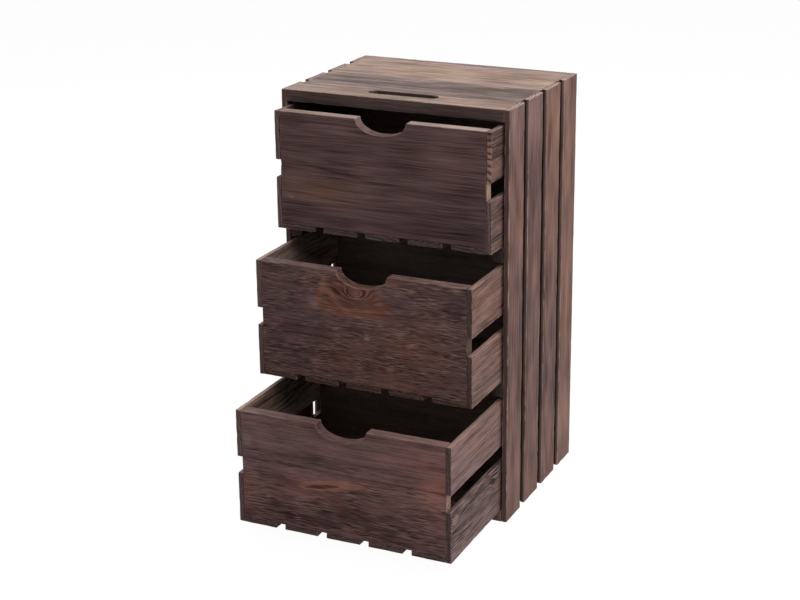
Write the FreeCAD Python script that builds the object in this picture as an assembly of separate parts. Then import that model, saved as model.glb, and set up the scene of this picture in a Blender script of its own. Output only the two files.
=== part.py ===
import FreeCAD, Part
import math
import os

# A crate-style chest of three drawers, nailed together from thick boards and thin slats.
#
# Two thick panels are the ends of a tall crate that stands upright. Four slats on each side are
# nailed over the ends of the panels, and five more between the panels close the back. Runners on
# the side walls carry the upper and the middle drawer, and the bottom panel carries the lower one.
# Each drawer is a small crate of its own: a front and a back board, two slats on each side and a
# slatted bottom. The drawers have no stops and stand partly open.
#
# Millimetres. The origin is on the floor in the middle of the carcase, with +X to the right,
# +Y to the back and +Z up.

# Timber
slat_thickness = 8.0
slat_width = 54.0
side_slat_width = 56.0
side_slats = 4              # in each side wall of the carcase
back_slats = 5
bottom_slats = 5            # under each drawer
panel_thickness = 18.0
board_thickness = 18.0
arris = 0.8                 # flat that eases every sharp edge

# Carcase
carcase_width = 360.0
carcase_depth = 276.0
runner_width = 18.0
runner_height = 24.0
runner_setback = 2.0

# Hand slot in the top panel
slot_length = 110.0
slot_width = 20.0
slot_from_front = 36.0

# Drawers
drawer_height = 177.0
drawer_depth = 260.0
lower_side_height = 78.0
side_gap = 26.0
side_clearance = 2.0
slide_gap = 0.3             # under a drawer, where it slides
headroom = 4.7              # over a drawer
pulled_out = {"lower": 182.0, "middle": 109.0, "upper": 41.0}

# Finger scoop in each front board: half an ellipse below two rounded shoulders
scoop_width = 78.0
scoop_depth = 22.0
scoop_shoulder = 2.0

# Brads
brad_side = 1.2
brad_length = 18.0
panel_brad_length = 32.0
brad_set = 0.6              # how far a head is driven below the surface
brad_inset = 12.0           # from the edge of a slat

# Sizes that follow
inner_width = carcase_width - 2 * slat_thickness
drawer_width = inner_width - 2 * side_clearance
board_width = drawer_width - 2 * slat_thickness
board_height = drawer_height - slat_thickness
upper_side_height = drawer_height - lower_side_height - side_gap
bay_height = slide_gap + drawer_height + headroom
drawer_pitch = bay_height + runner_height
carcase_height = 2 * panel_thickness + len(pulled_out) * drawer_pitch - runner_height
front = -carcase_depth / 2
back = carcase_depth / 2


def eased(shape, edges):
    """Take the sharp arris off the given edges."""
    return shape.makeChamfer(arris, edges)


def eased_box(x_span, y_span, z_span):
    """A straight board between two places on each axis, with every edge eased."""
    corner = FreeCAD.Vector(x_span[0], y_span[0], z_span[0])
    box = Part.makeBox(x_span[1] - x_span[0], y_span[1] - y_span[0], z_span[1] - z_span[0], corner)
    return eased(box, box.Edges)


def slat_spans(start, end, count, width=slat_width):
    """Spans of slats spread from the start of a run to its end, with equal gaps."""
    pitch = (end - start - width) / (count - 1)
    return [(start + i * pitch, start + i * pitch + width) for i in range(count)]


def nail_places(span):
    """Two places for brads across a slat, one near each of its edges."""
    return [span[0] + brad_inset, span[1] - brad_inset]


def brad(head, inward, length=brad_length):
    """A square brad, driven from a place on a surface and set a little below it."""
    direction = FreeCAD.Vector(*inward)
    start = FreeCAD.Vector(*head) + direction * brad_set
    end = start + direction * length
    grow = [0 if component else brad_side / 2 for component in inward]
    low = [min(start[i], end[i]) - grow[i] for i in range(3)]
    high = [max(start[i], end[i]) + grow[i] for i in range(3)]
    return Part.makeBox(high[0] - low[0], high[1] - low[1], high[2] - low[2], FreeCAD.Vector(*low))


def save(name, shape):
    shape.exportStep("parts/" + name + ".step")


# Carcase ---------------------------------------------------------------------------------------

def slot_cutter(low, high):
    """A straight-sided slot with round ends, through the top panel."""
    radius = slot_width / 2
    reach = slot_length / 2 - radius
    middle = front + slot_from_front

    def at(x, y):
        return FreeCAD.Vector(x, middle + y, low)

    outline = Part.Wire([
        Part.LineSegment(at(-reach, -radius), at(reach, -radius)).toShape(),
        Part.Arc(at(reach, -radius), at(reach + radius, 0), at(reach, radius)).toShape(),
        Part.LineSegment(at(reach, radius), at(-reach, radius)).toShape(),
        Part.Arc(at(-reach, radius), at(-reach - radius, 0), at(-reach, -radius)).toShape(),
    ])
    return Part.Face(outline).extrude(FreeCAD.Vector(0, 0, high - low))


def panel(bottom):
    """One end of the crate, between the side slats."""
    half = inner_width / 2
    return eased_box((-half, half), (front, back), (bottom, bottom + panel_thickness))


def top_panel():
    """The upper panel, with an eased hand slot near its front edge."""
    under = carcase_height - panel_thickness
    cutter = slot_cutter(under, carcase_height)
    pierced = panel(under).cut(cutter)
    rims = [edge for edge in pierced.Edges
            if cutter.BoundBox.isInside(edge.BoundBox.Center)
            and edge.BoundBox.ZLength < arris]
    return eased(pierced, rims)


def side_slat_spans():
    """Spans of the slats in a side wall, from the front to the back."""
    return slat_spans(front, back, side_slats, side_slat_width)


def side_wall(side):
    """The slats of one side wall by name; side is -1 on the left and 1 on the right."""
    outer = side * carcase_width / 2
    inner = side * inner_width / 2
    x_span = (min(outer, inner), max(outer, inner))
    label = "right" if side > 0 else "left"
    return {"%s_slat_%d" % (label, i + 1): eased_box(x_span, span, (0, carcase_height))
            for i, span in enumerate(side_slat_spans())}


def back_wall():
    """The slats between the two panels that close the back."""
    y_span = (back - slat_thickness, back)
    z_span = (panel_thickness, carcase_height - panel_thickness)
    return {"back_slat_%d" % (i + 1): eased_box(span, y_span, z_span)
            for i, span in enumerate(slat_spans(-inner_width / 2, inner_width / 2, back_slats))}


def runner_bottom(level):
    """Underside of a pair of runners; level 1 carries the middle drawer and level 2 the upper."""
    return panel_thickness + level * drawer_pitch - runner_height


def runners():
    """Two pairs of wooden runners on the side walls."""
    y_span = (front + runner_setback, back - slat_thickness - runner_setback)
    pieces = {}
    for level, name in ((1, "lower"), (2, "upper")):
        z_span = (runner_bottom(level), runner_bottom(level) + runner_height)
        for side, label in ((-1, "left"), (1, "right")):
            wall = side * inner_width / 2
            edge = wall - side * runner_width
            x_span = (min(wall, edge), max(wall, edge))
            pieces["%s_%s_runner" % (name, label)] = eased_box(x_span, y_span, z_span)
    return pieces


def carcase_brads():
    """Brads that hold the side slats to panels and runners, and the back slats to the panels."""
    panel_middles = (panel_thickness / 2, carcase_height - panel_thickness / 2)
    runner_middles = [runner_bottom(level) + runner_height / 2 for level in (1, 2)]
    brads = []
    for side in (-1, 1):
        face = side * carcase_width / 2
        inward = (-side, 0, 0)
        for span in side_slat_spans():
            brads += [brad((face, y, z), inward) for y in nail_places(span) for z in panel_middles]
            middle = (span[0] + span[1]) / 2
            brads += [brad((face, middle, z), inward) for z in runner_middles]
    wall_middle = back - slat_thickness / 2
    for span in slat_spans(-inner_width / 2, inner_width / 2, back_slats):
        for x in nail_places(span):
            brads.append(brad((x, wall_middle, 0), (0, 0, 1), panel_brad_length))
            brads.append(brad((x, wall_middle, carcase_height), (0, 0, -1), panel_brad_length))
    return Part.makeCompound(brads)


# Drawers ---------------------------------------------------------------------------------------

def front_board(face, bottom):
    """A drawer's front board, with a finger scoop cut down from its upper edge."""
    half = board_width / 2
    top = bottom + board_height
    reach = scoop_width / 2
    brow = top - scoop_shoulder

    def at(x, z):
        return FreeCAD.Vector(x, face, z)

    def line(a, b):
        return Part.LineSegment(a, b).toShape()

    def shoulder(side):
        """The quarter round that leads from the upper edge into the scoop."""
        bow = scoop_shoulder * (1 - math.sqrt(0.5))
        crest = at(side * (reach + scoop_shoulder), top)
        return Part.Arc(crest, at(side * (reach + bow), top - bow), at(side * reach, brow)).toShape()

    scoop = Part.Ellipse(at(reach, brow), at(0, top - scoop_depth), at(0, brow))
    outline = Part.Wire([
        line(at(-half, bottom), at(half, bottom)),
        line(at(half, bottom), at(half, top)),
        line(at(half, top), at(reach + scoop_shoulder, top)),
        shoulder(1),
        Part.Arc(scoop, 0, math.pi).toShape(),
        shoulder(-1),
        line(at(-reach - scoop_shoulder, top), at(-half, top)),
        line(at(-half, top), at(-half, bottom)),
    ])
    board = Part.Face(outline).extrude(FreeCAD.Vector(0, board_thickness, 0))
    rims = [edge for edge in board.Edges if edge.BoundBox.YLength < arris]
    return eased(board, rims)


def drawer(name, level):
    """The pieces of one drawer by name; level 0 is the lowest bay."""
    face = front - pulled_out[name]
    rear = face + drawer_depth
    bottom = panel_thickness + level * drawer_pitch + slide_gap
    boards = bottom + slat_thickness
    top = bottom + drawer_height
    half = board_width / 2
    side_spans = {"lower": (bottom, bottom + lower_side_height),
                  "upper": (top - upper_side_height, top)}
    board_middles = (face + board_thickness / 2, rear - board_thickness / 2)
    brads = []

    pieces = {"front_board": front_board(face, boards)}
    back_span = (rear - board_thickness, rear)
    pieces["back_board"] = eased_box((-half, half), back_span, (boards, top))

    for side, label in ((-1, "left"), (1, "right")):
        outer = side * drawer_width / 2
        x_span = (min(outer, side * half), max(outer, side * half))
        for place, z_span in side_spans.items():
            pieces["%s_%s_side" % (place, label)] = eased_box(x_span, (face, rear), z_span)
            nailed = (max(z_span[0], boards), z_span[1])
            brads += [brad((outer, y, z), (-side, 0, 0))
                      for y in board_middles for z in nail_places(nailed)]

    for i, span in enumerate(slat_spans(-half, half, bottom_slats)):
        pieces["bottom_slat_%d" % (i + 1)] = eased_box(span, (face, rear), (bottom, boards))
        brads += [brad((x, y, bottom), (0, 0, 1)) for x in nail_places(span) for y in board_middles]

    pieces["brads"] = Part.makeCompound(brads)
    return pieces


os.makedirs("parts", exist_ok=True)

save("top_panel", top_panel())
save("bottom_panel", panel(0))
carcase = {**side_wall(-1), **side_wall(1), **back_wall(), **runners()}
for node, shape in carcase.items():
    save(node, shape)
save("carcase_brads", carcase_brads())

for level, name in enumerate(pulled_out):
    for piece, shape in drawer(name, level).items():
        save("%s_drawer_%s" % (name, piece), shape)
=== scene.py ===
import math
import random
from types import SimpleNamespace

import bpy
from mathutils import Matrix, Vector, noise

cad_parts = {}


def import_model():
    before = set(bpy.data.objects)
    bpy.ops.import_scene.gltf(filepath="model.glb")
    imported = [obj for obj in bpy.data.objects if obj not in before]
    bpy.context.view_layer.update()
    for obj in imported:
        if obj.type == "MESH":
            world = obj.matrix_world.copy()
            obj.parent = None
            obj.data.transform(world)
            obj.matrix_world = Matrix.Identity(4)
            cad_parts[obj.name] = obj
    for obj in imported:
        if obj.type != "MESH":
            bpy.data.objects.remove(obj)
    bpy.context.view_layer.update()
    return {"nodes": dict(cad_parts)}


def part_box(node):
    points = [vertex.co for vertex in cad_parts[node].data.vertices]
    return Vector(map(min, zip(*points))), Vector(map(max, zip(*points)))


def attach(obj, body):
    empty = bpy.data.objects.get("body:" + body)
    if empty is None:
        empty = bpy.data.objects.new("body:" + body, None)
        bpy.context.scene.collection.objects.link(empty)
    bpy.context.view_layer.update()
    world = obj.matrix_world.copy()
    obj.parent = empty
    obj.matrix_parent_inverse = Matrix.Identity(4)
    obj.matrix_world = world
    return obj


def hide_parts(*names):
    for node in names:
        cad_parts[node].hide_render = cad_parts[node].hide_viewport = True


# Looks of a crate-style chest of drawers: every board is rebuilt as a mesh with worn arrises, in
# torched and brushed wood. Board sizes and places come from the frame. Lengths are millimetres
# until a mesh is made, which is in metres. A place on a board is given along its grain, across it
# and through it, from the board's lower corner.

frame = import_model()

MM = 0.001

# The photograph's frame in pixels, and its camera in metres and degrees
PICTURE_WIDTH, PICTURE_HEIGHT = 800, 600
FOCAL_PIXELS = 1689.9
PRINCIPAL_POINT = (460, 250)
CAMERA_PLACE = (1.0208, -2.2603, 1.1543)
CAMERA_YAW = 23.35
CAMERA_PITCH = -17.66
SENSOR_WIDTH = 36.0

# Wear, and painted shade at seams and holes
ARRIS = 1.1                 # radius of an arris that is hardly worn
NEAR_ARRIS = (0.0, 0.35, 1.0, 2.4)      # where a mesh is cut by an arris, in radii from the edge
DEEPEST_KNOCK = 2.6
WEAR_SPACING, KNOCK_SPACING = 19, 7     # along an arris
WEAR_REACH = 3.2            # how far the rubbed colour spreads from an arris
SURFACE_DIP = 0.3           # how far a face is uneven, always inwards
DIP_SIZE = (90, 13, 13)     # of its hollows
SEAM_SHADE_REACH = 1.0            # how far the painted shade spreads from a seam between two boards
HOLE_SHADE_REACH = 3         # and how far down a hole's wall its painted shade reaches full black
TOUCH = 0.01                # slack for a place that lies on a face

# Finger scoop in a front board, and where the board's mesh bends to it
SCOOP_WIDTH, SCOOP_DEPTH, SCOOP_SHOULDER = 78.0, 22.0, 2.0
BOWL_REACH, SHOULDER_REACH, BEND_REACH, BEND_DEPTH = 50.0, 54.0, 80.0, 66.0
SCOOP_SKIN = 0.8 * SCOOP_SHOULDER       # what stays stiff under the rim
BEND_FADE = 1.5                         # how soon the bend fades downwards, as a power

# Hand slot in the top panel, and the part of its mesh that is made round it
SLOT_LENGTH, SLOT_WIDTH, SLOT_FROM_FRONT = 110.0, 20.0, 36.0
SLOT_MARGIN = 8.0
SLOT_STEPS = (30, 10)
SLOT_RIM = ((3.0, 0.0), (1.3, 0.0), (0.6, 0.12), (0.18, 0.5), (0.0, 1.3))   # out and down

# Sizes of what the noise draws in the wood: along, across and through a board
WANDER_SIZE = (170, 70, 70)     # slow bends of the growth rings
RIPPLE_SIZE = (30, 12, 12)      # quick ones
SPACING_SIZE = (260, 16, 16)    # where the rings lie closer
BREAK_SIZE = (42, 5, 5)         # where they fade
CLOUD_SIZE = (60, 22, 22)       # light and dark clouds
DRIFT_SIZE = (60, 24, 24)       # reddish places
SALLOW_SIZE = (80, 30, 30)      # olive ones
CURL_SIZE = (16, 9, 9)          # curls of the short strokes
CROWD_SIZE = (44, 20, 20)       # where the strokes crowd
END_SIZE = (9, 9, 9)            # wobbles of the rings on an end face
PORE_SIZE = (1.4, 1.4, 1.4)
RUB_SIZE = (24, 7, 7)           # worn patches along an arris
RAGGED_SIZE = (9, 5, 9)         # ragged edge of a sharp mark

# How far apart boards, the planks of one board, and dashes and pits lie in the noise
BOARD_SHIFT = (907.0, 433.0, 211.0)
PLANK_SHIFT = (310.0, 170.0, 90.0)
PIT_SHIFT = (50, 30, 9)
MESH_SHIFT = (7.1, 3.7, 1.9)    # and how far apart their worn surfaces lie

MIDDLE_TONE = 0.42
RING_LEAN = 0.6             # how far the growth rings lean through a board
RELIEF_DEPTH = 0.6

randomizer = random.Random(11)


# Node trees -----------------------------------------------

class Graph:
    """Adds shader nodes to a tree, one call for each node."""

    def __init__(self, tree):
        self.tree = tree

    def add(self, kind, inputs=(), output=0, **settings):
        node = self.tree.nodes.new(kind)
        for key, value in settings.items():
            setattr(node, key, value)
        for key, value in dict(inputs).items():
            self.put(value, node.inputs[key])
        return node.outputs[output]

    def put(self, value, socket):
        if isinstance(value, bpy.types.NodeSocket):
            self.tree.links.new(value, socket)
        else:
            socket.default_value = value

    def math(self, operation, a, b=0.0, c=0.0, clamp=False):
        return self.add("ShaderNodeMath", {0: a, 1: b, 2: c}, operation=operation, use_clamp=clamp)

    def clamped(self, a):
        return self.math("MULTIPLY", a, 1.0, clamp=True)

    def vector(self, operation, a, b):
        return self.add("ShaderNodeVectorMath", {0: a, 1: b}, operation=operation)

    def length(self, a):
        return self.add("ShaderNodeVectorMath", {0: a}, 1, operation="LENGTH")

    def scaled(self, a, factor):
        return self.add("ShaderNodeVectorMath", {0: a, "Scale": factor}, operation="SCALE")

    def combine(self, x, y, z):
        return self.add("ShaderNodeCombineXYZ", {0: x, 1: y, 2: z})

    def separate(self, a):
        """The outputs "X", "Y" and "Z" of a vector."""
        return self.add("ShaderNodeSeparateXYZ", {0: a}).node.outputs

    def noise(self, place, detail):
        return self.add("ShaderNodeTexNoise", {"Vector": place, "Scale": 1.0, "Detail": detail})

    def ramp(self, value, low, high, to_low=0.0, to_high=1.0):
        inputs = {0: value, 1: low, 2: high, 3: to_low, 4: to_high}
        return self.add("ShaderNodeMapRange", inputs, interpolation_type="SMOOTHSTEP")

    def blend(self, factor, a, b):
        return self.add("ShaderNodeMix", {0: factor, 6: a, 7: b}, 2, data_type="RGBA")

    def attribute(self, name, output="Fac"):
        return self.add("ShaderNodeAttribute", (), output, attribute_name=name)

    def total(self, terms):
        result = terms[0]
        for term in terms[1:]:
            result = self.math("ADD", result, term)
        return result


def new_material(name):
    """A material and its shader node."""
    material = bpy.data.materials.new(name)
    material.use_nodes = True
    return material, material.node_tree.nodes["Principled BSDF"]


def new_mesh(name, places, faces):
    mesh = bpy.data.meshes.new(name)
    mesh.from_pydata(places, [], faces)
    return mesh


def new_object(name, data):
    """An object in the scene."""
    thing = bpy.data.objects.new(name, data)
    bpy.context.scene.collection.objects.link(thing)
    return thing


def colour(red, green, blue):
    return (red, green, blue, 1.0)


def mark_group():
    """A node group: how much a place on a board lies in a soft tilted oval, from 0 to 1."""
    tree = bpy.data.node_groups.new("mark", "ShaderNodeTree")
    for name, kind in (("Board", "NodeSocketVector"), ("Centre", "NodeSocketVector"),
                       ("Shrink", "NodeSocketVector"), ("Tilt", "NodeSocketFloat")):
        tree.interface.new_socket(name, in_out="INPUT", socket_type=kind)
    tree.interface.new_socket("Mask", in_out="OUTPUT", socket_type="NodeSocketFloat")
    g = Graph(tree)
    entry = tree.nodes.new("NodeGroupInput")
    away = g.vector("SUBTRACT", entry.outputs["Board"], entry.outputs["Centre"])
    turned = g.add("ShaderNodeVectorRotate", {"Vector": away, "Angle": entry.outputs["Tilt"]},
                   rotation_type="Z_AXIS")
    shrunk = g.vector("MULTIPLY", turned, entry.outputs["Shrink"])
    square = g.math("POWER", g.length(shrunk), 2.0)
    mask = g.math("EXPONENT", g.math("MULTIPLY", square, -1.0))
    tree.links.new(mask, tree.nodes.new("NodeGroupOutput").inputs["Mask"])
    return tree


MARK = mark_group()
WHITE = colour(1, 1, 1)
OLIVE = colour(0.98, 1.03, 0.86)        # what a sallow patch multiplies its wood by
AMBER = colour(1.12, 1.0, 0.68)         # and an amber one


# Wood -----------------------------------------------------

def adopt(thing, changes):
    """Gives a look or a mark the named values that differ from those of its class."""
    for key, value in changes.items():
        if not hasattr(thing, key):
            raise ValueError(key)
        setattr(thing, key, value)


class Look:
    """How a torched wood looks: its colours, and how strong and how wavy its grain is."""
    dark = colour(0.02, 0.0105, 0.0104)
    light = colour(0.196, 0.116, 0.117)
    warm_dark = colour(0.028, 0.01, 0.008)
    warm_light = colour(0.264, 0.118, 0.088)
    pale = colour(0.32, 0.208, 0.178)       # fibres that are rubbed clean
    char = colour(0.008, 0.0046, 0.0042)    # pits that stay black
    worn = colour(0.33, 0.225, 0.19)        # arrises
    narrow = colour(0.33, 0.225, 0.19)      # narrow faces
    end = colour(0.06, 0.036, 0.034)        # end faces
    end_ring, end_period = 0.4, 5.0         # growth rings on the end faces
    width = 1.0             # how wide the bands and lines are
    broad, band, cloud = 0.8, 0.8, 0.5      # light and dark places, from wide to narrow
    cloud_detail = 2.5
    ring, period = 0.15, 3.2                # growth rings
    streak, streak_length = 0.3, 70.0
    fibre, fibre_length = 0.2, 15.0
    dash, pit = 0.1, 0.3    # short pale and black strokes
    dash_length, dash_width, curl = 14.0, 1.9, 0.5
    wander, ripple = 14.0, 1.6              # how far the growth rings bend, slowly and quickly
    warmth, olive = 0.25, 0.35
    tone = 0.0              # how much lighter the wood is
    wear = 0.6              # on the arrises
    edge = 0.4              # how much of the narrow faces has their own colour
    relief = 0.5
    joints = ()             # glued joints between planks: place across the board, and darkness

    def __init__(self, base=(), **changes):
        adopt(self, dict(base, **changes))


class Mark:
    """A soft oval on a board: a figure, a knot, a patch of another colour or a rubbed place."""
    lift = 0.0              # how much lighter the wood is there
    warmth = 0.0            # how much redder
    amber = 0.0             # how much yellower
    bend = 0.0              # how far the growth rings go round it
    figure = 0.0            # how much stronger they are
    calm = 0.0              # how much fewer short strokes there are
    rub = 0.0               # how much of the pale fibre is bare
    burn = 0.0              # how much lighter an end face is
    sharp = False           # whether its edge is ragged, not soft

    def __init__(self, along, across, length, height, tilt=0, **changes):
        self.centre = (along, across, 0.0)
        self.shrink = (1 / length, 1 / height, 0.0)
        self.tilt = -math.radians(tilt)
        adopt(self, changes)

    def cover(self, place):
        """How much a place on the board lies in the mark, from 0 to 1."""
        away = Vector(place) - Vector(self.centre)
        turned = Matrix.Rotation(self.tilt, 3, "Z") @ away
        return math.exp(-(turned.x * self.shrink[0]) ** 2 - (turned.y * self.shrink[1]) ** 2)


class Wood(Graph):
    """The node tree of a charred and brushed wood, with its grain ready for its colours."""

    def __init__(self, tree, look, marks):
        super().__init__(tree)
        self.look = look
        self.board = self.attribute("board", "Vector")
        self.across = self.separate(self.board)["Y"]
        self.marks = [(mark, self.mask(mark)) for mark in marks]
        self.place, self.gap = self.planks()
        self.axes = self.separate(self.place)
        self.layer = self.growth_layer()
        self.flow = self.combine(self.axes["X"], self.layer, self.axes["Z"])
        self.rings = self.growth_rings()
        self.streak = self.strands((look.streak_length, 1.9 * look.width, 4))
        self.fibre = self.strands((look.fibre_length, 0.8, 2))
        self.dash, self.pit = self.strokes()
        self.tone = self.lightness()

    def mask(self, mark):
        """How much each place lies in a mark, from 0 to 1."""
        inputs = {"Board": self.board, "Centre": mark.centre, "Shrink": mark.shrink,
                  "Tilt": mark.tilt}
        value = self.add("ShaderNodeGroup", inputs, "Mask", node_tree=MARK)
        if mark.sharp:
            ragged = self.field(RAGGED_SIZE, around=self.board)
            value = self.ramp(self.math("MULTIPLY_ADD", ragged, 0.24, value), 0.44, 0.54)
        return value

    def marked(self, kind):
        """How strongly the marks change one thing, such as "lift", at each place."""
        parts = [self.math("MULTIPLY", mask, getattr(mark, kind))
                 for mark, mask in self.marks if getattr(mark, kind)]
        return self.total(parts) if parts else 0.0

    def planks(self):
        """Each place in the noise, apart for each board and each plank, and the shade: painted
        shade at seams, gaps and the hand slot, and dark glued joints.
        """
        seed = self.attribute("seed")
        shift = self.vector("MULTIPLY", self.combine(seed, seed, seed), BOARD_SHIFT)
        place = self.vector("ADD", self.board, shift)
        gap = self.math("MULTIPLY_ADD", self.attribute("painted_shade"), -0.9, 1.0)
        for joint, shade in self.look.joints:
            height = self.math("SUBTRACT", self.across, joint)
            above = self.math("GREATER_THAN", height, 0.0)
            plank = self.vector("MULTIPLY", self.combine(above, above, above), PLANK_SHIFT)
            place = self.vector("ADD", place, plank)
            line = self.ramp(self.math("ABSOLUTE", height), 0.4, 1.6, shade, 1.0)
            gap = self.math("MULTIPLY", gap, line)
        return place, gap

    def field(self, size, detail=2.0, around=None):
        """Noise with a size in millimetres for each axis of the board."""
        place = self.place if around is None else around
        stretched = self.vector("MULTIPLY", place, [1 / s for s in size])
        return self.noise(stretched, detail)

    def centred(self, value, amount):
        return self.math("MULTIPLY", self.math("SUBTRACT", value, 0.5), amount)

    def growth_layer(self):
        """How far up the growth rings each place lies, in millimetres."""
        return self.total([self.axes["Y"], self.math("MULTIPLY", self.axes["Z"], RING_LEAN),
                           self.centred(self.field(WANDER_SIZE), self.look.wander),
                           self.centred(self.field(RIPPLE_SIZE), self.look.ripple),
                           self.marked("bend")])

    def growth_rings(self):
        """The late wood of the growth rings, which fades here and there."""
        turn = self.math("DIVIDE", self.layer, self.look.period * self.look.width)
        uneven = self.field(SPACING_SIZE, around=self.flow)
        turn = self.math("FRACT", self.math("MULTIPLY_ADD", uneven, 2.6, turn))
        late = self.math("MULTIPLY", self.ramp(turn, 0.3, 0.86),
                         self.ramp(turn, 0.9, 1.0, 1.0, 0.0))
        broken = self.ramp(self.field(BREAK_SIZE, around=self.flow), 0.34, 0.66, 0.15, 1.6)
        return self.math("MULTIPLY", self.math("SUBTRACT", late, 0.35), broken)

    def strands(self, size):
        return self.ramp(self.field(size, around=self.flow), 0.28, 0.72)

    def strokes(self):
        """Short pale dashes and black pits, which curl about the grain."""
        look = self.look
        curly = self.math("MULTIPLY_ADD", self.field(CURL_SIZE), 9 * look.curl, self.layer)
        curly = self.combine(self.axes["X"], curly, self.axes["Z"])
        crowd = self.ramp(self.field(CROWD_SIZE), 0.34, 0.62, 0.25, 1.0)
        crowd = self.math("MAXIMUM", self.math("SUBTRACT", crowd, self.marked("calm")), 0.0)
        size = (look.dash_length, look.dash_width, 3)
        return [self.math("MULTIPLY", self.ramp(self.field(size, 0.0, around), 0.5, 0.68), crowd)
                for around in (curly, self.vector("ADD", curly, PIT_SHIFT))]

    def lightness(self):
        """How light the wood is, from 0 to 1."""
        look, width = self.look, self.look.width
        broad = self.field((320, 15 * width, 15 * width), around=self.flow)
        band = self.field((110, 4.5 * width, 6 * width), around=self.flow)
        cloud = self.field(CLOUD_SIZE, look.cloud_detail)
        drawn = self.math("ADD", look.ring, self.marked("figure"))
        return self.clamped(self.total([
            MIDDLE_TONE + look.tone, self.centred(broad, look.broad),
            self.centred(band, look.band), self.centred(cloud, look.cloud),
            self.centred(self.streak, look.streak), self.centred(self.fibre, look.fibre),
            self.math("MULTIPLY", self.rings, drawn), self.attribute("tone"),
            self.marked("lift")]))

    def dyed(self):
        """The plain colour of the wood: cool or warm, with olive and amber places."""
        look = self.look
        drift = self.ramp(self.field(DRIFT_SIZE, 3.0), 0.36, 0.66, 0.0, 2 * look.warmth)
        warmth = self.total([drift, self.attribute("warmth"), self.marked("warmth")])
        cool = self.blend(self.tone, look.dark, look.light)
        warm = self.blend(self.tone, look.warm_dark, look.warm_light)
        paint = self.blend(self.clamped(warmth), cool, warm)
        sallow = self.ramp(self.field(SALLOW_SIZE, 3.0), 0.46, 0.7, 0.0, look.olive)
        paint = self.vector("MULTIPLY", paint, self.blend(sallow, WHITE, OLIVE))
        amber = self.clamped(self.marked("amber"))
        return self.vector("MULTIPLY", paint, self.blend(amber, WHITE, AMBER))

    def brushed(self, paint):
        """Blackens the pits, and bares the fibres at the dashes and the rubbed marks."""
        rub = self.math("MULTIPLY", self.marked("rub"), self.ramp(self.fibre, 0.2, 0.8, 0.4, 1.0))
        bare = self.math("MULTIPLY_ADD", self.dash, self.look.dash, rub, clamp=True)
        pitted = self.math("MULTIPLY", self.pit, self.look.pit)
        paint = self.blend(pitted, paint, self.look.char)
        return self.blend(bare, paint, self.look.pale)

    def sawn(self, paint):
        """Gives the end faces their own colour, with growth rings and pores."""
        look = self.look
        radius = self.length(self.combine(0.0, self.across, self.axes["Z"]))
        turn = self.math("DIVIDE", radius, look.end_period)
        turn = self.math("FRACT", self.math("MULTIPLY_ADD", self.field(END_SIZE), 0.8, turn))
        shade = self.ramp(self.field(PORE_SIZE), 0.3, 0.7, 0.7, 1.3)
        shade = self.math("MULTIPLY", shade, self.ramp(turn, 0.2, 0.7, 1 - look.end_ring, 1.15))
        lift = self.math("MULTIPLY_ADD", self.attribute("tone"), 0.8, 1.0)
        shade = self.math("MULTIPLY", shade, self.math("ADD", lift, self.marked("burn")))
        ends = self.math("MULTIPLY", self.attribute("end"), 0.9)
        return self.blend(ends, paint, self.scaled(look.end[:3], shade))

    def worn(self, paint):
        """Gives the narrow faces their own colour, and rubs the arrises in patches."""
        patches = self.ramp(self.field(RUB_SIZE), 0.42, 0.64, 0.15, 1.0)
        rubbed = self.math("MULTIPLY", self.ramp(self.attribute("wear"), 0.35, 0.9), patches)
        narrow = self.math("MULTIPLY", self.attribute("edge"),
                           self.ramp(self.tone, 0.0, 0.8, 0.4, 1.3))
        paint = self.blend(self.math("MULTIPLY", narrow, self.look.edge), paint, self.look.narrow)
        return self.blend(self.math("MULTIPLY", rubbed, self.look.wear), paint, self.look.worn)

    def relief(self):
        """The normal of a surface on which the late wood and the fibres stand out."""
        heights = self.total([self.rings, self.centred(self.streak, 0.6),
                              self.centred(self.fibre, 0.4), self.math("MULTIPLY", self.dash, 0.5),
                              self.math("MULTIPLY", self.pit, -0.5)])
        return self.add("ShaderNodeBump", {"Strength": self.look.relief,
                                           "Distance": RELIEF_DEPTH * MM, "Height": heights})


def torched_wood(name, look, marks=()):
    """A material of charred and brushed wood that follows each board's own grain."""
    material, shader = new_material(name)
    wood = Wood(material.node_tree, look, marks)
    paint = wood.worn(wood.sawn(wood.brushed(wood.dyed())))
    # darkens the colour by the painted shade of seams, slat gaps and the hand slot, and by the dark
    # joints
    wood.put(wood.scaled(paint, wood.gap), shader.inputs["Base Color"])
    wood.put(wood.ramp(wood.tone, 0.1, 0.9, 0.74, 0.58), shader.inputs["Roughness"])
    wood.put(wood.relief(), shader.inputs["Normal"])
    shader.inputs["Specular IOR Level"].default_value = 0.1
    return material


def brad_steel():
    """Dull wire of the brads."""
    material, shader = new_material("brad_steel")
    g = Graph(material.node_tree)
    place = g.add("ShaderNodeTexCoord", (), "Object")
    stain = g.noise(g.vector("MULTIPLY", place, (900.0, 900.0, 900.0)), 3.0)
    g.put(g.blend(stain, colour(0.3, 0.29, 0.28), colour(0.52, 0.5, 0.48)),
          shader.inputs["Base Color"])
    g.put(g.ramp(stain, 0.3, 0.7, 0.35, 0.6), shader.inputs["Roughness"])
    shader.inputs["Metallic"].default_value = 1.0
    return material


# Board meshes ---------------------------------------------

def stations(low, high, step, extra=()):
    """Places along one edge of a board: close together near its ends, then evenly spaced."""
    near = [share * ARRIS for share in NEAR_ARRIS]
    start, end = low + near[-1], high - near[-1]
    count = max(1, round((end - start) / step))
    even = [start + i * (end - start) / count for i in range(count + 1)]
    kept = [e for e in even if all(abs(e - x) > 0.3 * step for x in extra)]
    close = [low + n for n in near[:-1]] + [high - n for n in near[:-1]]
    return sorted(set(close + kept + list(extra)))


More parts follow.
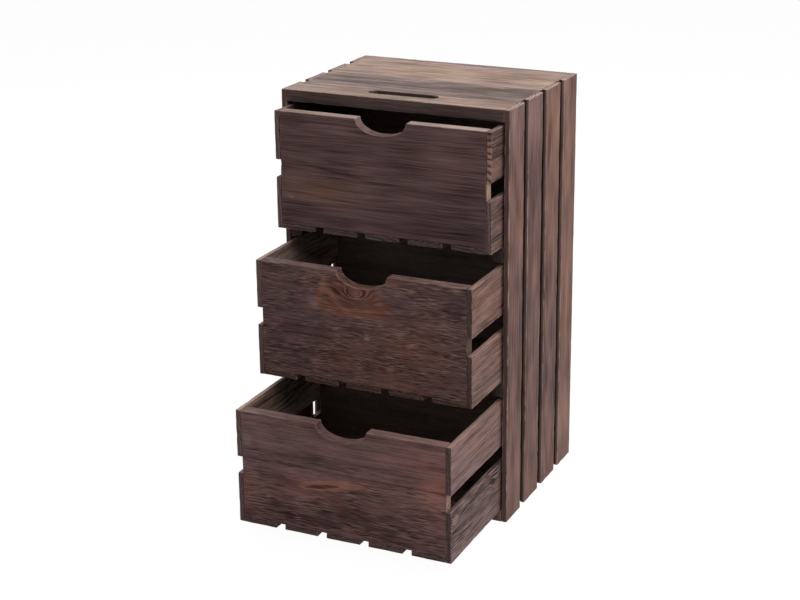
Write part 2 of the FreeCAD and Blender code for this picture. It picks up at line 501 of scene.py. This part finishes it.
def box_shell(grids):
    """The surface of a box as vertices and quads, on three lists of places."""
    sizes = [len(g) for g in grids]
    index, places, quads = {}, [], []

    def vertex(key):
        if key not in index:
            index[key] = len(places)
            places.append(Vector((grids[0][key[0]], grids[1][key[1]], grids[2][key[2]])))
        return index[key]

    for axis in range(3):
        one, two = (axis + 1) % 3, (axis + 2) % 3
        for side in (0, sizes[axis] - 1):
            for i in range(sizes[one] - 1):
                for j in range(sizes[two] - 1):
                    corners = []
                    for a, b in ((0, 0), (1, 0), (1, 1), (0, 1)):
                        key = [0, 0, 0]
                        key[axis], key[one], key[two] = side, i + a, j + b
                        corners.append(vertex(tuple(key)))
                    quads.append(corners if side else corners[::-1])
    return places, quads


def worn_radius(place, shift):
    """Radius of the arris at a place: small, with a knocked spot here and there."""
    slow = noise.noise(place / WEAR_SPACING + shift)
    knock = max(0.0, noise.noise(place / KNOCK_SPACING - shift) - 0.34)
    return min(ARRIS * (0.85 + 0.7 * slow) + 7 * knock, DEEPEST_KNOCK)


def rounded(place, low, high, shift):
    """A place on the sharp box, brought onto the box with worn arrises."""
    radius = worn_radius(place, shift)
    core = Vector([min(max(p, a + radius), b - radius) for p, a, b in zip(place, low, high)])
    away = place - core
    return core + away * (radius / away.length)


def dipped(places, quads, shift, axes):
    """Moves each vertex inwards by an uneven amount that runs along the grain."""
    mesh = new_mesh("probe", places, quads)
    stretch = [0, 0, 0]
    for axis, size in zip(axes, DIP_SIZE):
        stretch[axis] = size
    moved = []
    for place, vertex in zip(places, mesh.vertices):
        at = Vector([p / s for p, s in zip(place, stretch)]) + shift
        depth = SURFACE_DIP * (0.5 + noise.noise(at))
        moved.append(place - vertex.normal * max(0.0, depth))
    bpy.data.meshes.remove(mesh)
    return moved


def scoop_rim(x):
    """Where a front board's upper edge goes: across, down, and which way its wood lies."""
    reach, bowl = SCOOP_WIDTH / 2, SCOOP_DEPTH - SCOOP_SHOULDER
    if x < BOWL_REACH:
        turn = math.pi / 2 * x / BOWL_REACH
        wood = Vector((bowl * math.sin(turn), -reach * math.cos(turn))).normalized()
        return reach * math.sin(turn), SCOOP_SHOULDER + bowl * math.cos(turn), wood
    if x < SHOULDER_REACH:
        turn = math.pi / 2 * (x - BOWL_REACH) / (SHOULDER_REACH - BOWL_REACH)
        wood = Vector((math.cos(turn), -math.sin(turn)))
        return (reach + SCOOP_SHOULDER * (1 - math.cos(turn)),
                SCOOP_SHOULDER * (1 - math.sin(turn)), wood)
    crest = reach + SCOOP_SHOULDER
    share = (x - SHOULDER_REACH) / (BEND_REACH - SHOULDER_REACH)
    return crest + share * (BEND_REACH - crest), 0.0, Vector((0, -1))


def scoop_columns():
    """Places along a front board where its mesh is cut for the scoop: close at the shoulders."""
    bowl = [4.0 * i for i in range(1, 12)]
    shoulder = [47.0, 49.0, 50.0, 51.0, 52.0, 53.0, 54.0, 57.0]
    right = bowl + shoulder
    return [0.0] + right + [-x for x in right]


def scooped(place, low, high):
    """Bends the upper part of a front board down to the outline of its scoop."""
    depth = high.z - place.z
    if abs(place.x) >= BEND_REACH or depth >= BEND_DEPTH:
        return place
    across, down, wood = scoop_rim(abs(place.x))
    skin = min(depth, SCOOP_SKIN)
    side = math.copysign(1, place.x)
    bent = Vector((side * (across + wood.x * skin), place.y,
                   high.z - down + wood.y * skin - (depth - skin)))
    share = (1 - (depth - skin) / (BEND_DEPTH - skin)) ** BEND_FADE
    return place.lerp(bent, share)


def slot_grid(low):
    """Places across and along the top panel where the mesh round its slot begins."""
    half = SLOT_LENGTH / 2 + SLOT_MARGIN
    middle = low.y + SLOT_FROM_FRONT
    rise = SLOT_WIDTH / 2 + SLOT_MARGIN
    across_steps, along_steps = SLOT_STEPS
    return ([-half + i * 2 * half / across_steps for i in range(across_steps + 1)],
            [middle - rise + i * 2 * rise / along_steps for i in range(along_steps + 1)])


def slotted(places, quads, low, high):
    """Opens the hand slot in the top panel: the quads with the hole, and the rim's own places."""
    across, along = slot_grid(low)
    middle = (along[0] + along[-1]) / 2

    def inside(p, slack):
        return (across[0] - slack < p.x < across[-1] + slack
                and along[0] - slack < p.y < along[-1] + slack)

    kept = [q for q in quads
            if not inside(sum((places[i] for i in q), Vector()) / len(q), 0.0)]
    edge = [(x, along[0]) for x in across] + [(across[-1], y) for y in along[1:]]
    edge += [(x, along[-1]) for x in across[-2::-1]] + [(across[0], y) for y in along[-2:0:-1]]
    lookup = {(round(p.x, 3), round(p.y, 3), p.z): i for i, p in enumerate(places)
              if inside(p, 0.1) and p.z in (low.z, high.z)}

    def loop_of(z):
        return [lookup[(round(x, 3), round(y, 3), z)] for x, y in edge]

    thick = high.z - low.z
    profile = [*SLOT_RIM, (0.0, thick / 2)] + [(out, thick - down) for out, down in SLOT_RIM[::-1]]
    rim, loops = [], [loop_of(high.z)]
    for out, down in profile:
        loops.append([len(places) + len(rim) + i for i in range(len(edge))])
        for x, y in edge:
            straight = SLOT_LENGTH / 2 - SLOT_WIDTH / 2
            core = Vector((min(max(x, -straight), straight), middle, high.z - down))
            away = (Vector((x, y, core.z)) - core).normalized()
            rim.append(core + away * (SLOT_WIDTH / 2 + out))
    loops.append(loop_of(low.z))
    for upper, lower in zip(loops, loops[1:]):
        for i in range(len(edge)):
            j = (i + 1) % len(edge)
            kept.append([upper[i], upper[j], lower[j], lower[i]])
    return kept, rim


# What the wood knows about each place of a board ----------

def from_arris(place, low, high):
    """How far a place on the surface of the box is from the nearest arris."""
    return sorted(min(p - a, b - p) for p, a, b in zip(place, low, high))[1]


def on_face(place, low, high, axis):
    """1.0 on the two faces of the box that lie across an axis, and 0.0 elsewhere."""
    return float(min(place[axis] - low[axis], high[axis] - place[axis]) < TOUCH)


def on_outer_face(place, low, high):
    """Whether a place is on the face of an upright side that looks away from the chest."""
    return abs(place.x) > max(abs(low.x), abs(high.x)) - TOUCH


def painted_seam_shade(place, low, high, seams):
    """How black a place is, from 0 to 1, by a seam where this board meets another: painted shade in
    the seam's groove.
    """
    if from_arris(place, low, high) > ARRIS:
        return 0.0
    return max([0.0] + [depth * (1 - abs(place[axis] - at) / SEAM_SHADE_REACH)
                        for axis, at, depth in seams])


def painted_gap_shade(place, low, high, depth):
    """How black the narrow face of a wall slat is, as painted shade in the gap between slats: more
    so towards the inside of the chest.
    """
    inward = abs(abs(place.x) - max(abs(low.x), abs(high.x))) / (high.x - low.x)
    return depth * min(1.0, max(0.0, 2.5 * inward - 0.6)) * on_face(place, low, high, 1)


def painted_hole_shade(place, high):
    """How black the wall of the hand slot is, as painted shade in the hole: more so below its
    rounded rim.
    """
    return min(0.9, (high.z - place.z) / HOLE_SHADE_REACH)


def char_scoop(facts, places, high, amount):
    """Takes the narrow face's own colour off the wall of a front board's scoop."""
    depths = [(high.z - p.z) / SCOOP_DEPTH for p in places]
    facts["edge"] = [edge * (1 - amount * min(1.0, 8 * depth, 0.5 + depth / 2))
                     for edge, depth in zip(facts["edge"], depths)]


def finish_board(name, node, body, material, places, quads, facts):
    """Makes the board's object in metres, with what its wood needs to know at each vertex."""
    mesh = new_mesh(name, [p * MM for p in places], quads)
    mesh.shade_smooth()
    for key, values in facts.items():
        if key == "board":
            attribute = mesh.attributes.new(key, "FLOAT_VECTOR", "POINT")
            attribute.data.foreach_set("vector", [c for v in values for c in v])
        else:
            attribute = mesh.attributes.new(key, "FLOAT", "POINT")
            attribute.data.foreach_set("value", values)
    mesh.materials.append(material)
    piece = new_object(name, mesh)
    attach(piece, body)
    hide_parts(node)


def millimetre_box(node):
    return [corner * (1 / MM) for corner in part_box(node)]


def timber(node, body, material, grain, step=6.0, tone=0.0, warmth=0.0, patches=(),
           seams=(), extra=((), (), ()), warp=None, hole=None, charred_scoop=0.0, gap=0.0,
           outer_tone=None):
    """Rebuilds one CAD board. grain names its axes: along, across and through, such as 'xzy'.

    A seam is an axis, a place on it and the darkness of its painted shade. extra has further places
    to cut the mesh at.
    """
    low, high = millimetre_box(node)
    seed = randomizer.uniform(0, 10)
    shift = Vector([seed * s for s in MESH_SHIFT])
    axes = ["xyz".index(letter) for letter in grain]
    grids = [stations(low[i], high[i], step, extra[i]) for i in range(3)]
    sharp, quads = box_shell(grids)
    places = [rounded(p, low, high, shift) for p in sharp]
    if warp:
        places = [warp(p, low, high) for p in places]
    rim = []
    if hole:
        quads, rim = hole(sharp, quads, low, high)
    places = dipped(places + rim, quads, shift, axes)
    board = [Vector([(p - low)[axis] for axis in axes]) for p in places]
    facts = {
        "board": board,
        "seed": [seed] * len(places),
        "tone": [tone + sum(m.lift * m.cover(b) for m in patches) for b in board],
        "warmth": [warmth + sum(m.warmth * m.cover(b) for m in patches) for b in board],
        "wear": [max(0.0, 1 - from_arris(p, low, high) / WEAR_REACH) for p in sharp + rim],
        "end": [on_face(p, low, high, axes[0]) for p in sharp + rim],
        "edge": [on_face(p, low, high, axes[1]) for p in sharp + rim],
        # painted shade at seams, in the slats' gaps and down the hand slot
        "painted_shade": [max(painted_seam_shade(p, low, high, seams), painted_gap_shade(p, low, high, gap)) for p in sharp]
                + [painted_hole_shade(p, high) for p in rim],
    }
    if outer_tone is not None:
        facts["tone"] = [outer_tone if on_outer_face(p, low, high) else t
                         for p, t in zip(sharp + rim, facts["tone"])]
    if charred_scoop:
        char_scoop(facts, places, high, charred_scoop)
    finish_board(node + "_board", node, body, material, places, quads, facts)


# Carcase --------------------------------------------------

LIGHTER = dict(         # colours of boards that were torched less
    dark=colour(0.0255, 0.014, 0.0135), light=colour(0.275, 0.168, 0.162),
    warm_dark=colour(0.037, 0.016, 0.012), warm_light=colour(0.355, 0.186, 0.136))
SHADED_INSIDE = dict(           # darker colours inside the drawers: painted shade
    dark=colour(0.011, 0.0085, 0.0078), light=colour(0.125, 0.096, 0.084),
    warm_dark=colour(0.014, 0.0085, 0.007), warm_light=colour(0.15, 0.096, 0.072))
SMOKED = dict(          # colours of boards that were smoked less
    dark=colour(0.02, 0.0155, 0.014), light=colour(0.235, 0.185, 0.16),
    warm_dark=colour(0.025, 0.016, 0.013), warm_light=colour(0.28, 0.18, 0.135))
WALL = dict(            # look of the side slats
    LIGHTER, end=colour(0.25, 0.18, 0.155), worn=colour(0.38, 0.27, 0.235), width=1.4, tone=-0.02,
    broad=0.5, band=0.38, cloud=0.6, cloud_detail=0.5, streak=0.2, streak_length=140, fibre=0.3,
    fibre_length=50, dash=0.06, pit=0.12, dash_length=30, curl=0.1, wander=8, ripple=1.0,
    warmth=0.35, wear=1.0, edge=0.45)
DRAWER_SIDE = dict(     # look of the slats of the drawers' sides
    LIGHTER, width=1.3, dash_length=24, dash_width=1.3, curl=0.15, edge=0.3)

SIDE_SLATS, BACK_SLATS = 4, 5
SLAT_GAPS = (0.0, 0.95, 1.0, 1.0)       # how black the narrow faces of the side slats are painted, as shade in the gaps
RIGHT_SLAT_PATCHES = (
    (Mark(60, 28, 90, 90, lift=0.22, warmth=0.15), Mark(470, 28, 110, 90, lift=0.06, warmth=0.35),
     Mark(610, 28, 60, 90, lift=0.14, warmth=-0.3), Mark(300, 28, 300, 90, warmth=0.15)),
    (Mark(40, 28, 70, 90, lift=0.12, warmth=0.15), Mark(605, 18, 45, 60, lift=0.24, warmth=-0.4),
     Mark(300, 28, 300, 90, lift=-0.09), Mark(505, 34, 30, 40, lift=-0.06, warmth=-0.2),
     Mark(212, 26, 14, 12, lift=0.16)),
    (Mark(40, 28, 70, 90, lift=0.1, warmth=0.2), Mark(560, 28, 110, 90, lift=0.1, warmth=0.7),
     Mark(300, 28, 300, 90, lift=-0.09), Mark(400, 28, 60, 90, warmth=0.3),
     Mark(180, 28, 90, 90, warmth=-0.2)),
    (Mark(320, 28, 130, 90, lift=0.13, warmth=0.5), Mark(40, 28, 80, 90, lift=0.18, warmth=0.2),
     Mark(570, 28, 90, 90, lift=0.08, warmth=0.3), Mark(618, 0, 16, 7, lift=0.5, warmth=1.0)),
)


def top_wood():
    """Three paler planks, with a wide dark stripe from the hand slot to the middle."""
    return torched_wood("top_panel_wood", Look(
        dark=colour(0.062, 0.042, 0.039), light=colour(0.375, 0.277, 0.258),
        warm_dark=colour(0.085, 0.053, 0.039), warm_light=colour(0.45, 0.306, 0.232),
        narrow=colour(0.074, 0.047, 0.047), end=colour(0.12, 0.08, 0.07), width=1.6, broad=0.5,
        band=0.9, cloud_detail=1.0, wander=6, ripple=1.0, dash=0.05, pit=0.12, dash_length=30,
        curl=0.1, warmth=0.3, edge=0.85, joints=((46, 0.8), (137, 0.6))), [
            Mark(172, 20, 600, 26, lift=0.04, warmth=0.4),
            Mark(172, 95, 600, 38, lift=-0.29, warmth=-0.3), Mark(290, 104, 70, 14, lift=-0.06),
            Mark(172, 205, 600, 62, lift=0.06, warmth=0.6), Mark(172, 144, 600, 5, lift=0.12),
            Mark(250, 182, 26, 8, lift=-0.12), Mark(240, 272, 110, 9, lift=-0.25)])


def side_slats(side, wood, first_wood, seams):
    """The slats of one side wall. The lighter places of the right wall are those that show."""
    for i in range(SIDE_SLATS):
        timber("%s_slat_%d" % (side, i + 1), "carcase",
               wood if i else first_wood, "zyx", step=7, tone=randomizer.uniform(-0.05, 0.05),
               patches=RIGHT_SLAT_PATCHES[i] if side == "right" else (),
               seams=seams if i else (), gap=SLAT_GAPS[i])


def carcase():
    """The panels, the walls and the runners."""
    sides = torched_wood("side_slat_wood", Look(WALL))
    first = torched_wood("first_slat_wood", Look(
        WALL, warm_light=colour(0.35, 0.182, 0.152), narrow=colour(0.096, 0.055, 0.048),
        edge=0.75))
    inner = torched_wood("panel_wood", Look(end=colour(0.055, 0.042, 0.042), end_ring=0.15))
    backs = torched_wood("back_slat_wood", Look(
        LIGHTER, width=1.6, broad=0.5, band=0.6, dash_length=30, curl=0.1, edge=0.0))
    low, high = millimetre_box("top_panel")
    seams = ((0, low.x, 0.4), (0, high.x, 0.4))
    timber("top_panel", "carcase", top_wood(), "xyz", step=7, seams=seams,
           extra=(*slot_grid(low), ()), hole=slotted)
    timber("bottom_panel", "carcase", inner, "xyz", step=9, seams=seams)
    for side in ("left", "right"):
        side_slats(side, sides, first, seams)
        for level in ("lower", "upper"):
            timber("%s_%s_runner" % (level, side), "carcase", inner, "yzx", step=9)
    for i in range(BACK_SLATS):
        timber("back_slat_%d" % (i + 1), "carcase", backs, "zxy", step=8,
               tone=randomizer.uniform(-0.06, 0.06), warmth=randomizer.uniform(-0.1, 0.2))


# Drawers --------------------------------------------------

def upper_front():
    """Even fine grain, with one long dark growth line."""
    return torched_wood("upper_front_wood", Look(
        end=colour(0.42, 0.275, 0.195), narrow=colour(0.42, 0.31, 0.275),
        warm_light=colour(0.24, 0.132, 0.112), tone=0.01, broad=0.75, band=0.22, cloud=0.6,
        cloud_detail=0.5, ring=0.05, period=2.6, streak=0.16, streak_length=220, fibre=0.5,
        fibre_length=60, dash=0.14, pit=0.08, dash_length=80, dash_width=1.2, curl=0.05,
        ripple=0.5, wander=9, warmth=0.1, olive=0.3, edge=0.65, relief=0.3), [
            Mark(52, 93, 38, 3.0, -10, lift=-0.24), Mark(119, 82, 40, 3.0, -8.6, lift=-0.24),
            Mark(200, 75.5, 52, 2.4, -1.8, lift=-0.2), Mark(285, 73.5, 45, 2.4, -0.8, lift=-0.18),
            Mark(70, 56, 60, 22, lift=0.16, warmth=0.6, amber=0.35),
            Mark(110, 112, 130, 16, lift=-0.08), Mark(16, 42, 3, 1.8, rub=0.5),
            Mark(278, 115, 50, 25, lift=0.06, warmth=0.25), Mark(110, 152, 90, 2.2, 1, lift=0.14),
            Mark(300, 20, 55, 20, lift=-0.06, warmth=-0.3)])


def middle_front():
    """Curly grain round a reddish figure, with one small knot."""
    return torched_wood("middle_front_wood", Look(
        end=colour(0.115, 0.072, 0.06), warm_light=colour(0.28, 0.118, 0.088),
        tone=0.04, broad=0.6, band=0.6, cloud=0.7, period=3.4, streak=0.34, streak_length=45,
        fibre=0.35, dash=0.54, pit=0.85, dash_length=17, dash_width=1.3, curl=0.45, ripple=2.4,
        wander=15, warmth=0.12, olive=0.25, edge=0.2), [
            Mark(153, 134, 26, 13, bend=21, figure=0.8),
            Mark(146, 124, 60, 24, warmth=0.9, calm=0.3, amber=0.35, sharp=True),
            Mark(138, 148, 46, 16, -4, lift=-0.1, warmth=0.7, sharp=True),
            Mark(99, 141, 19, 5, 72, lift=0.26, warmth=0.6, rub=0.1, amber=0.5),
            Mark(113, 133, 20, 5.5, -44, lift=0.34, warmth=0.6, rub=0.12, amber=0.5),
            Mark(152, 112, 46, 9, lift=0.16),
            Mark(157, 104, 24, 1.6, rub=0.6), Mark(86, 118, 10, 6, 25, lift=0.15, rub=0.2),
            Mark(169, 74, 4.2, 4.0, lift=0.3, warmth=0.6, rub=0.3, sharp=True),
            Mark(169, 74, 12, 9, bend=6, figure=0.1),
            Mark(220, 132, 16, 12, lift=-0.02, warmth=-0.6, calm=0.8),
            Mark(146, 74, 20, 10, warmth=-0.3, calm=0.6),
            Mark(230, 80, 120, 90, warmth=0.15), Mark(150, 40, 120, 26, warmth=0.2),
            Mark(255, 138, 75, 26, lift=-0.04, warmth=-0.3),
            Mark(240, 70, 45, 12, warmth=0.3, amber=0.3),
            Mark(316, 90, 26, 90, lift=-0.1, warmth=-0.3), Mark(216, 88, 12, 3.5, rub=0.25),
            Mark(214, 148, 22, 8, rub=0.2),
            Mark(40, 80, 70, 100, lift=-0.11, warmth=-0.3, calm=0.2)])


def lower_front():
    """Two planks: a smooth greyish one above, and a livelier one with a reddish lens below."""
    return torched_wood("lower_front_wood", Look(
        end=colour(0.35, 0.225, 0.16), warm_dark=colour(0.03, 0.011, 0.0094),
        warm_light=colour(0.27, 0.118, 0.106), tone=0.05, broad=1.0, band=0.6, cloud=0.9,
        ring=0.2, streak=0.3, fibre=0.3, dash=0.45, pit=0.75, dash_length=20, dash_width=1.3,
        curl=0.35, ripple=2.0, warmth=0.14, olive=0.15, edge=0.2, joints=((97, 0.6),)), [
            Mark(120, 140, 230, 38, lift=0.22, warmth=-0.3, calm=0.8, amber=0.15),
            Mark(300, 140, 80, 40, lift=0.14, warmth=0.1, calm=0.8),
            Mark(170, 44, 230, 46, lift=-0.06, warmth=0.12), Mark(60, 20, 80, 18, lift=-0.1),
            Mark(150, 45, 26, 6, lift=0.08, amber=0.5), Mark(50, 72, 55, 16, warmth=0.1),
            Mark(142, 76, 66, 13, 8.7, lift=0.1, warmth=0.4, amber=0.2),
            Mark(142, 76, 56, 8, 8.7, lift=0.2, warmth=0.9, calm=0.5, rub=0.2, amber=0.5,
                 sharp=True),
            Mark(131, 73, 27, 3.0, 10.8, lift=-0.42, warmth=-0.6, calm=0.5, rub=-0.2,
                 amber=-0.3, sharp=True),
            Mark(20, 60, 30, 60, lift=0.06), Mark(40, 110, 50, 50, warmth=-0.2),
            Mark(308, 97, 26, 38, lift=0.3, warmth=0.6, amber=0.35),
            Mark(6, 42, 11, 36, warmth=0.7),
            Mark(8, 124, 8, 14, rub=0.45), Mark(102, 34, 32, 1.6, -17, rub=0.35),
            Mark(185, 152, 26, 4, rub=0.35), Mark(278, 42, 45, 1.3, -4, rub=0.25),
            Mark(306, 70, 18, 1.2, -15, rub=0.5), Mark(316, 61, 12, 1.2, -15, rub=0.6)])


# How the drawers differ. The inner faces of the left sides are painted lighter, as painted light
# where light falls into the open drawers; their outer faces are not.
DRAWERS = {
    "upper": SimpleNamespace(
        front=upper_front, front_warmth=0.05, charred_scoop=1.0,
        tone=-0.1, painted_left_light=0.0, warmth=0.0, end=colour(0.16, 0.105, 0.104),
        bottom_end=colour(0.15, 0.095, 0.092), inside=SMOKED, back_tone=0.42, back_warmth=0.0),
    "middle": SimpleNamespace(
        front=middle_front, front_warmth=0.24, charred_scoop=0.5,
        tone=0.16, painted_left_light=0.35, warmth=0.35, end=colour(0.07, 0.043, 0.042),
        bottom_end=colour(0.115, 0.06, 0.05), inside=SMOKED, back_tone=0.28, back_warmth=0.0),
    "lower": SimpleNamespace(
        front=lower_front, front_warmth=0.26, charred_scoop=0.9,
        tone=0.28, painted_left_light=0.2, warmth=-0.2, end=colour(0.08, 0.045, 0.045),
        bottom_end=colour(0.13, 0.08, 0.077), inside=SHADED_INSIDE, back_tone=0.3, back_warmth=0.6),
}
# Soft patches by node. On the left sides they darken the back of the inner face, as painted shade;
# the rest are the wood's own patches.
SIDE_PATCHES = {
    "middle_drawer_lower_right_side": (Mark(20, 68, 55, 9, lift=0.22, warmth=0.2),
                                       Mark(40, 28, 90, 22, lift=-0.16, warmth=-0.4)),
    "lower_drawer_upper_right_side": (Mark(100, 66, 90, 6, lift=-0.16, warmth=0.3),),
    "upper_drawer_upper_left_side": (Mark(150, 50, 130, 90, lift=-0.25, warmth=-0.5),),
    "middle_drawer_upper_left_side": (Mark(160, 50, 90, 60, lift=-0.55, warmth=-0.5),),
    "lower_drawer_upper_left_side": (Mark(175, 50, 90, 60, lift=-0.42, warmth=0.3),
                                     Mark(30, 50, 80, 60, warmth=0.9)),
}
SIDE_TONE_SPREAD, SIDE_WARMTH_SPREAD = 0.05, 0.1
PALE_OUTER_TONE = -0.3      # outside, where a side painted light inside is as dark as the others
BOTTOM_SLATS = 5


def special_side_woods():
    """Woods of the sides that stand out, by node; the pale one is painted light on the inner left
    walls.
    """
    barred = torched_wood("barred_side_wood", Look(
        DRAWER_SIDE, end=colour(0.36, 0.2, 0.172), end_ring=0.75, end_period=9, tone=-0.2,
        broad=0.6, band=0.6, dash=0.2, dash_length=10, dash_width=1.4, curl=0.3), [
            Mark(0, 72, 1.2, 14, burn=-0.75)])
    knotty = torched_wood("knotty_side_wood", Look(
        DRAWER_SIDE, end=DRAWERS["lower"].end, pale=colour(0.5, 0.37, 0.33), width=1.4,
        tone=-0.08, band=0.6, streak=0.4, dash=0.45, pit=0.15, dash_length=40, dash_width=1.2,
        warmth=0.05), [
            Mark(15, 64, 17, 10, bend=7, figure=0.2), Mark(168, 56, 24, 15, bend=10, figure=0.4),
            Mark(15, 62, 10, 7, lift=0.2, warmth=0.8, calm=0.9, rub=0.2, amber=0.2, sharp=True),
            Mark(166, 68, 12, 9, lift=-0.2, warmth=0.9),
            Mark(168, 50, 11, 8, lift=0.2, warmth=0.9, calm=0.9, amber=0.3, sharp=True)])
    # inner left walls painted pale: painted light where light falls into the drawers
    pale = torched_wood("painted_light_side_wood", Look(
        DRAWER_SIDE, dark=colour(0.034, 0.022, 0.02), light=colour(0.62, 0.43, 0.395),
        warm_dark=colour(0.045, 0.022, 0.016), warm_light=colour(0.62, 0.39, 0.3),
        end=DRAWERS["middle"].end, width=1.5, tone=0.16, band=1.1, streak=0.5, pit=0.4))
    return {"upper_drawer_upper_right_side": barred, "lower_drawer_lower_right_side": knotty,
            "middle_drawer_upper_left_side": pale, "lower_drawer_upper_left_side": pale}


def side_wood(name, look):
    return torched_wood(name + "_side_wood", Look(
        DRAWER_SIDE, end=look.end, tone=look.tone, streak=0.45, dash=0.22, pit=0.25))


def bottom_wood(name, look):
    return torched_wood(name + "_bottom_wood", Look(
        SHADED_INSIDE, end=look.bottom_end, end_ring=0.5, band=0.4, streak=0.15, fibre=0.1, pit=0.1,
        wear=0.8))


def back_wood(name, look):
    return torched_wood(name + "_back_wood", Look(look.inside, band=0.4, streak=0.15, pit=0.1))


def spread(middle, reach):
    """A random value about a middle one."""
    return middle + randomizer.uniform(-reach, reach)


def drawer_side(name, place, side, plain, special, seams):
    """One slat of a drawer's side. On the left its inner face is painted lighter, as painted light,
    and its outer face is no lighter than on the right.
    """
    look = DRAWERS[name]
    body = name + "_drawer"
    node = "%s_%s_%s_side" % (body, place, side)
    tone, outer_tone = 0.0, None
    if side == "left":
        tone, outer_tone = look.painted_left_light, PALE_OUTER_TONE if node in special else 0.0
    timber(node, body, special.get(node, plain), "yzx", seams=seams,
           patches=SIDE_PATCHES.get(node, ()), tone=spread(tone, SIDE_TONE_SPREAD),
           warmth=spread(look.warmth, SIDE_WARMTH_SPREAD), outer_tone=outer_tone)


def drawer(name, look, special):
    """One drawer: its boards, its sides and the slats of its bottom."""
    body = name + "_drawer"
    sides, bottoms = side_wood(name, look), bottom_wood(name, look)
    low, high = millimetre_box(body + "_front_board")
    seams = ((0, low.x, 0.9), (0, high.x, 0.9), (2, low.z, 0.9))
    timber(body + "_front_board", body, look.front(), "xzy", step=4.0,
           warmth=look.front_warmth, seams=seams, extra=(scoop_columns(), (), ()),
           warp=scooped, charred_scoop=look.charred_scoop)
    timber(body + "_back_board", body, back_wood(name, look), "xzy", step=9,
           tone=look.back_tone, warmth=look.back_warmth)
    for place in ("lower", "upper"):
        for side in ("left", "right"):
            drawer_side(name, place, side, sides, special, seams)
    for i in range(BOTTOM_SLATS):
        timber("%s_bottom_slat_%d" % (body, i + 1), body, bottoms,
               "yxz", step=8, tone=randomizer.uniform(-0.28, -0.12), seams=seams)


def drawers():
    special = special_side_woods()
    for name, look in DRAWERS.items():
        drawer(name, look, special)


def brads():
    steel = brad_steel()
    for name, node in frame["nodes"].items():
        if name.endswith("brads"):
            node.data.materials.clear()
            node.data.materials.append(steel)


# Studio ---------------------------------------------------

FLOOR_REACH = 12.0                          # metres
FLOOR_DROP = 0.2 * MM                       # how far it lies under the slats' ends
FLOOR_GREY = colour(0.75, 0.75, 0.75)       # for the light that it throws back
FLOOR_SHADE, FLOOR_GLOW = colour(0.06, 0.06, 0.06), 0.97    # as the camera sees it
WORLD_GLOW = 0.16


def show(g, output, lit, white):
    """Shows a plain white to the camera, also in a mirror or through glass, and lights the rest."""
    path = g.add("ShaderNodeLightPath").node.outputs
    seen = g.math("MAXIMUM", g.math("MAXIMUM", path["Is Camera Ray"], path["Is Glossy Ray"]),
                  path["Is Transmission Ray"])
    mixed = g.add("ShaderNodeMixShader", {0: seen, 1: lit, 2: white})
    g.put(mixed, g.tree.nodes.new(output).inputs["Surface"])


def floor():
    """A grey floor that lights the chest from below, and that the camera sees nearly white."""
    corners = [(-1, -1), (1, -1), (1, 1), (-1, 1)]
    places = [(FLOOR_REACH * x, FLOOR_REACH * y, -FLOOR_DROP) for x, y in corners]
    mesh = new_mesh("floor", places, [(0, 1, 2, 3)])
    material, _ = new_material("floor_white")
    material.node_tree.nodes.clear()
    g = Graph(material.node_tree)
    lit = g.add("ShaderNodeBsdfDiffuse", {"Color": FLOOR_GREY})
    shade = g.add("ShaderNodeBsdfDiffuse", {"Color": FLOOR_SHADE})
    glow = g.add("ShaderNodeEmission", {"Color": WHITE, "Strength": FLOOR_GLOW})
    show(g, "ShaderNodeOutputMaterial", lit, g.add("ShaderNodeAddShader", {0: shade, 1: glow}))
    mesh.materials.append(material)
    piece = new_object("floor", mesh)


def world():
    """Dim even light all round, which the camera sees white."""
    surroundings = bpy.data.worlds.new("studio")
    surroundings.use_nodes = True
    surroundings.node_tree.nodes.clear()
    g = Graph(surroundings.node_tree)
    lit = g.add("ShaderNodeBackground", {"Color": WHITE, "Strength": WORLD_GLOW})
    white = g.add("ShaderNodeBackground", {"Color": WHITE, "Strength": 1.0})
    show(g, "ShaderNodeOutputWorld", lit, white)
    bpy.context.scene.world = surroundings


def soft_box(name, place, target, width, power):
    """A square lamp that faces a target."""
    data = bpy.data.lights.new(name, "AREA")
    data.shape = "RECTANGLE"
    data.size, data.size_y = width, width
    data.energy = power
    lamp = new_object(name, data)
    lamp.location = place
    lamp.rotation_euler = (Vector(target) - Vector(place)).to_track_quat("-Z", "Y").to_euler()


def camera():
    data = bpy.data.cameras.new("camera")
    data.sensor_width = SENSOR_WIDTH
    data.lens = FOCAL_PIXELS * SENSOR_WIDTH / PICTURE_WIDTH
    data.shift_x = (PICTURE_WIDTH / 2 - PRINCIPAL_POINT[0]) / PICTURE_WIDTH
    data.shift_y = (PRINCIPAL_POINT[1] - PICTURE_HEIGHT / 2) / PICTURE_WIDTH
    eye = new_object("camera", data)
    eye.location = CAMERA_PLACE
    eye.rotation_euler = (math.radians(90 + CAMERA_PITCH), 0, math.radians(CAMERA_YAW))
    bpy.context.scene.camera = eye


camera()
world()
floor()

# Lamps: place and target in metres, width in metres, and power in watts
soft_box("overhead", (0.3, 0.4, 2.7), (0, -0.05, 0.5), 1.5, 39)
soft_box("right", (2.0, 0.7, 1.7), (0, -0.05, 0.3), 1.1, 30)
soft_box("front", (-0.8, -2.9, 1.5), (0, 0, 0.3), 1.5, 4.0)
soft_box("front_right", (1.2, -1.6, 2.4), (0, -0.2, 0.3), 1.2, 20)
soft_box("back_left", (-1.9, 1.6, 1.7), (0, 0, 0.35), 1.5, 26)
bpy.context.scene.view_settings.view_transform = "Standard"

carcase()
drawers()
brads()
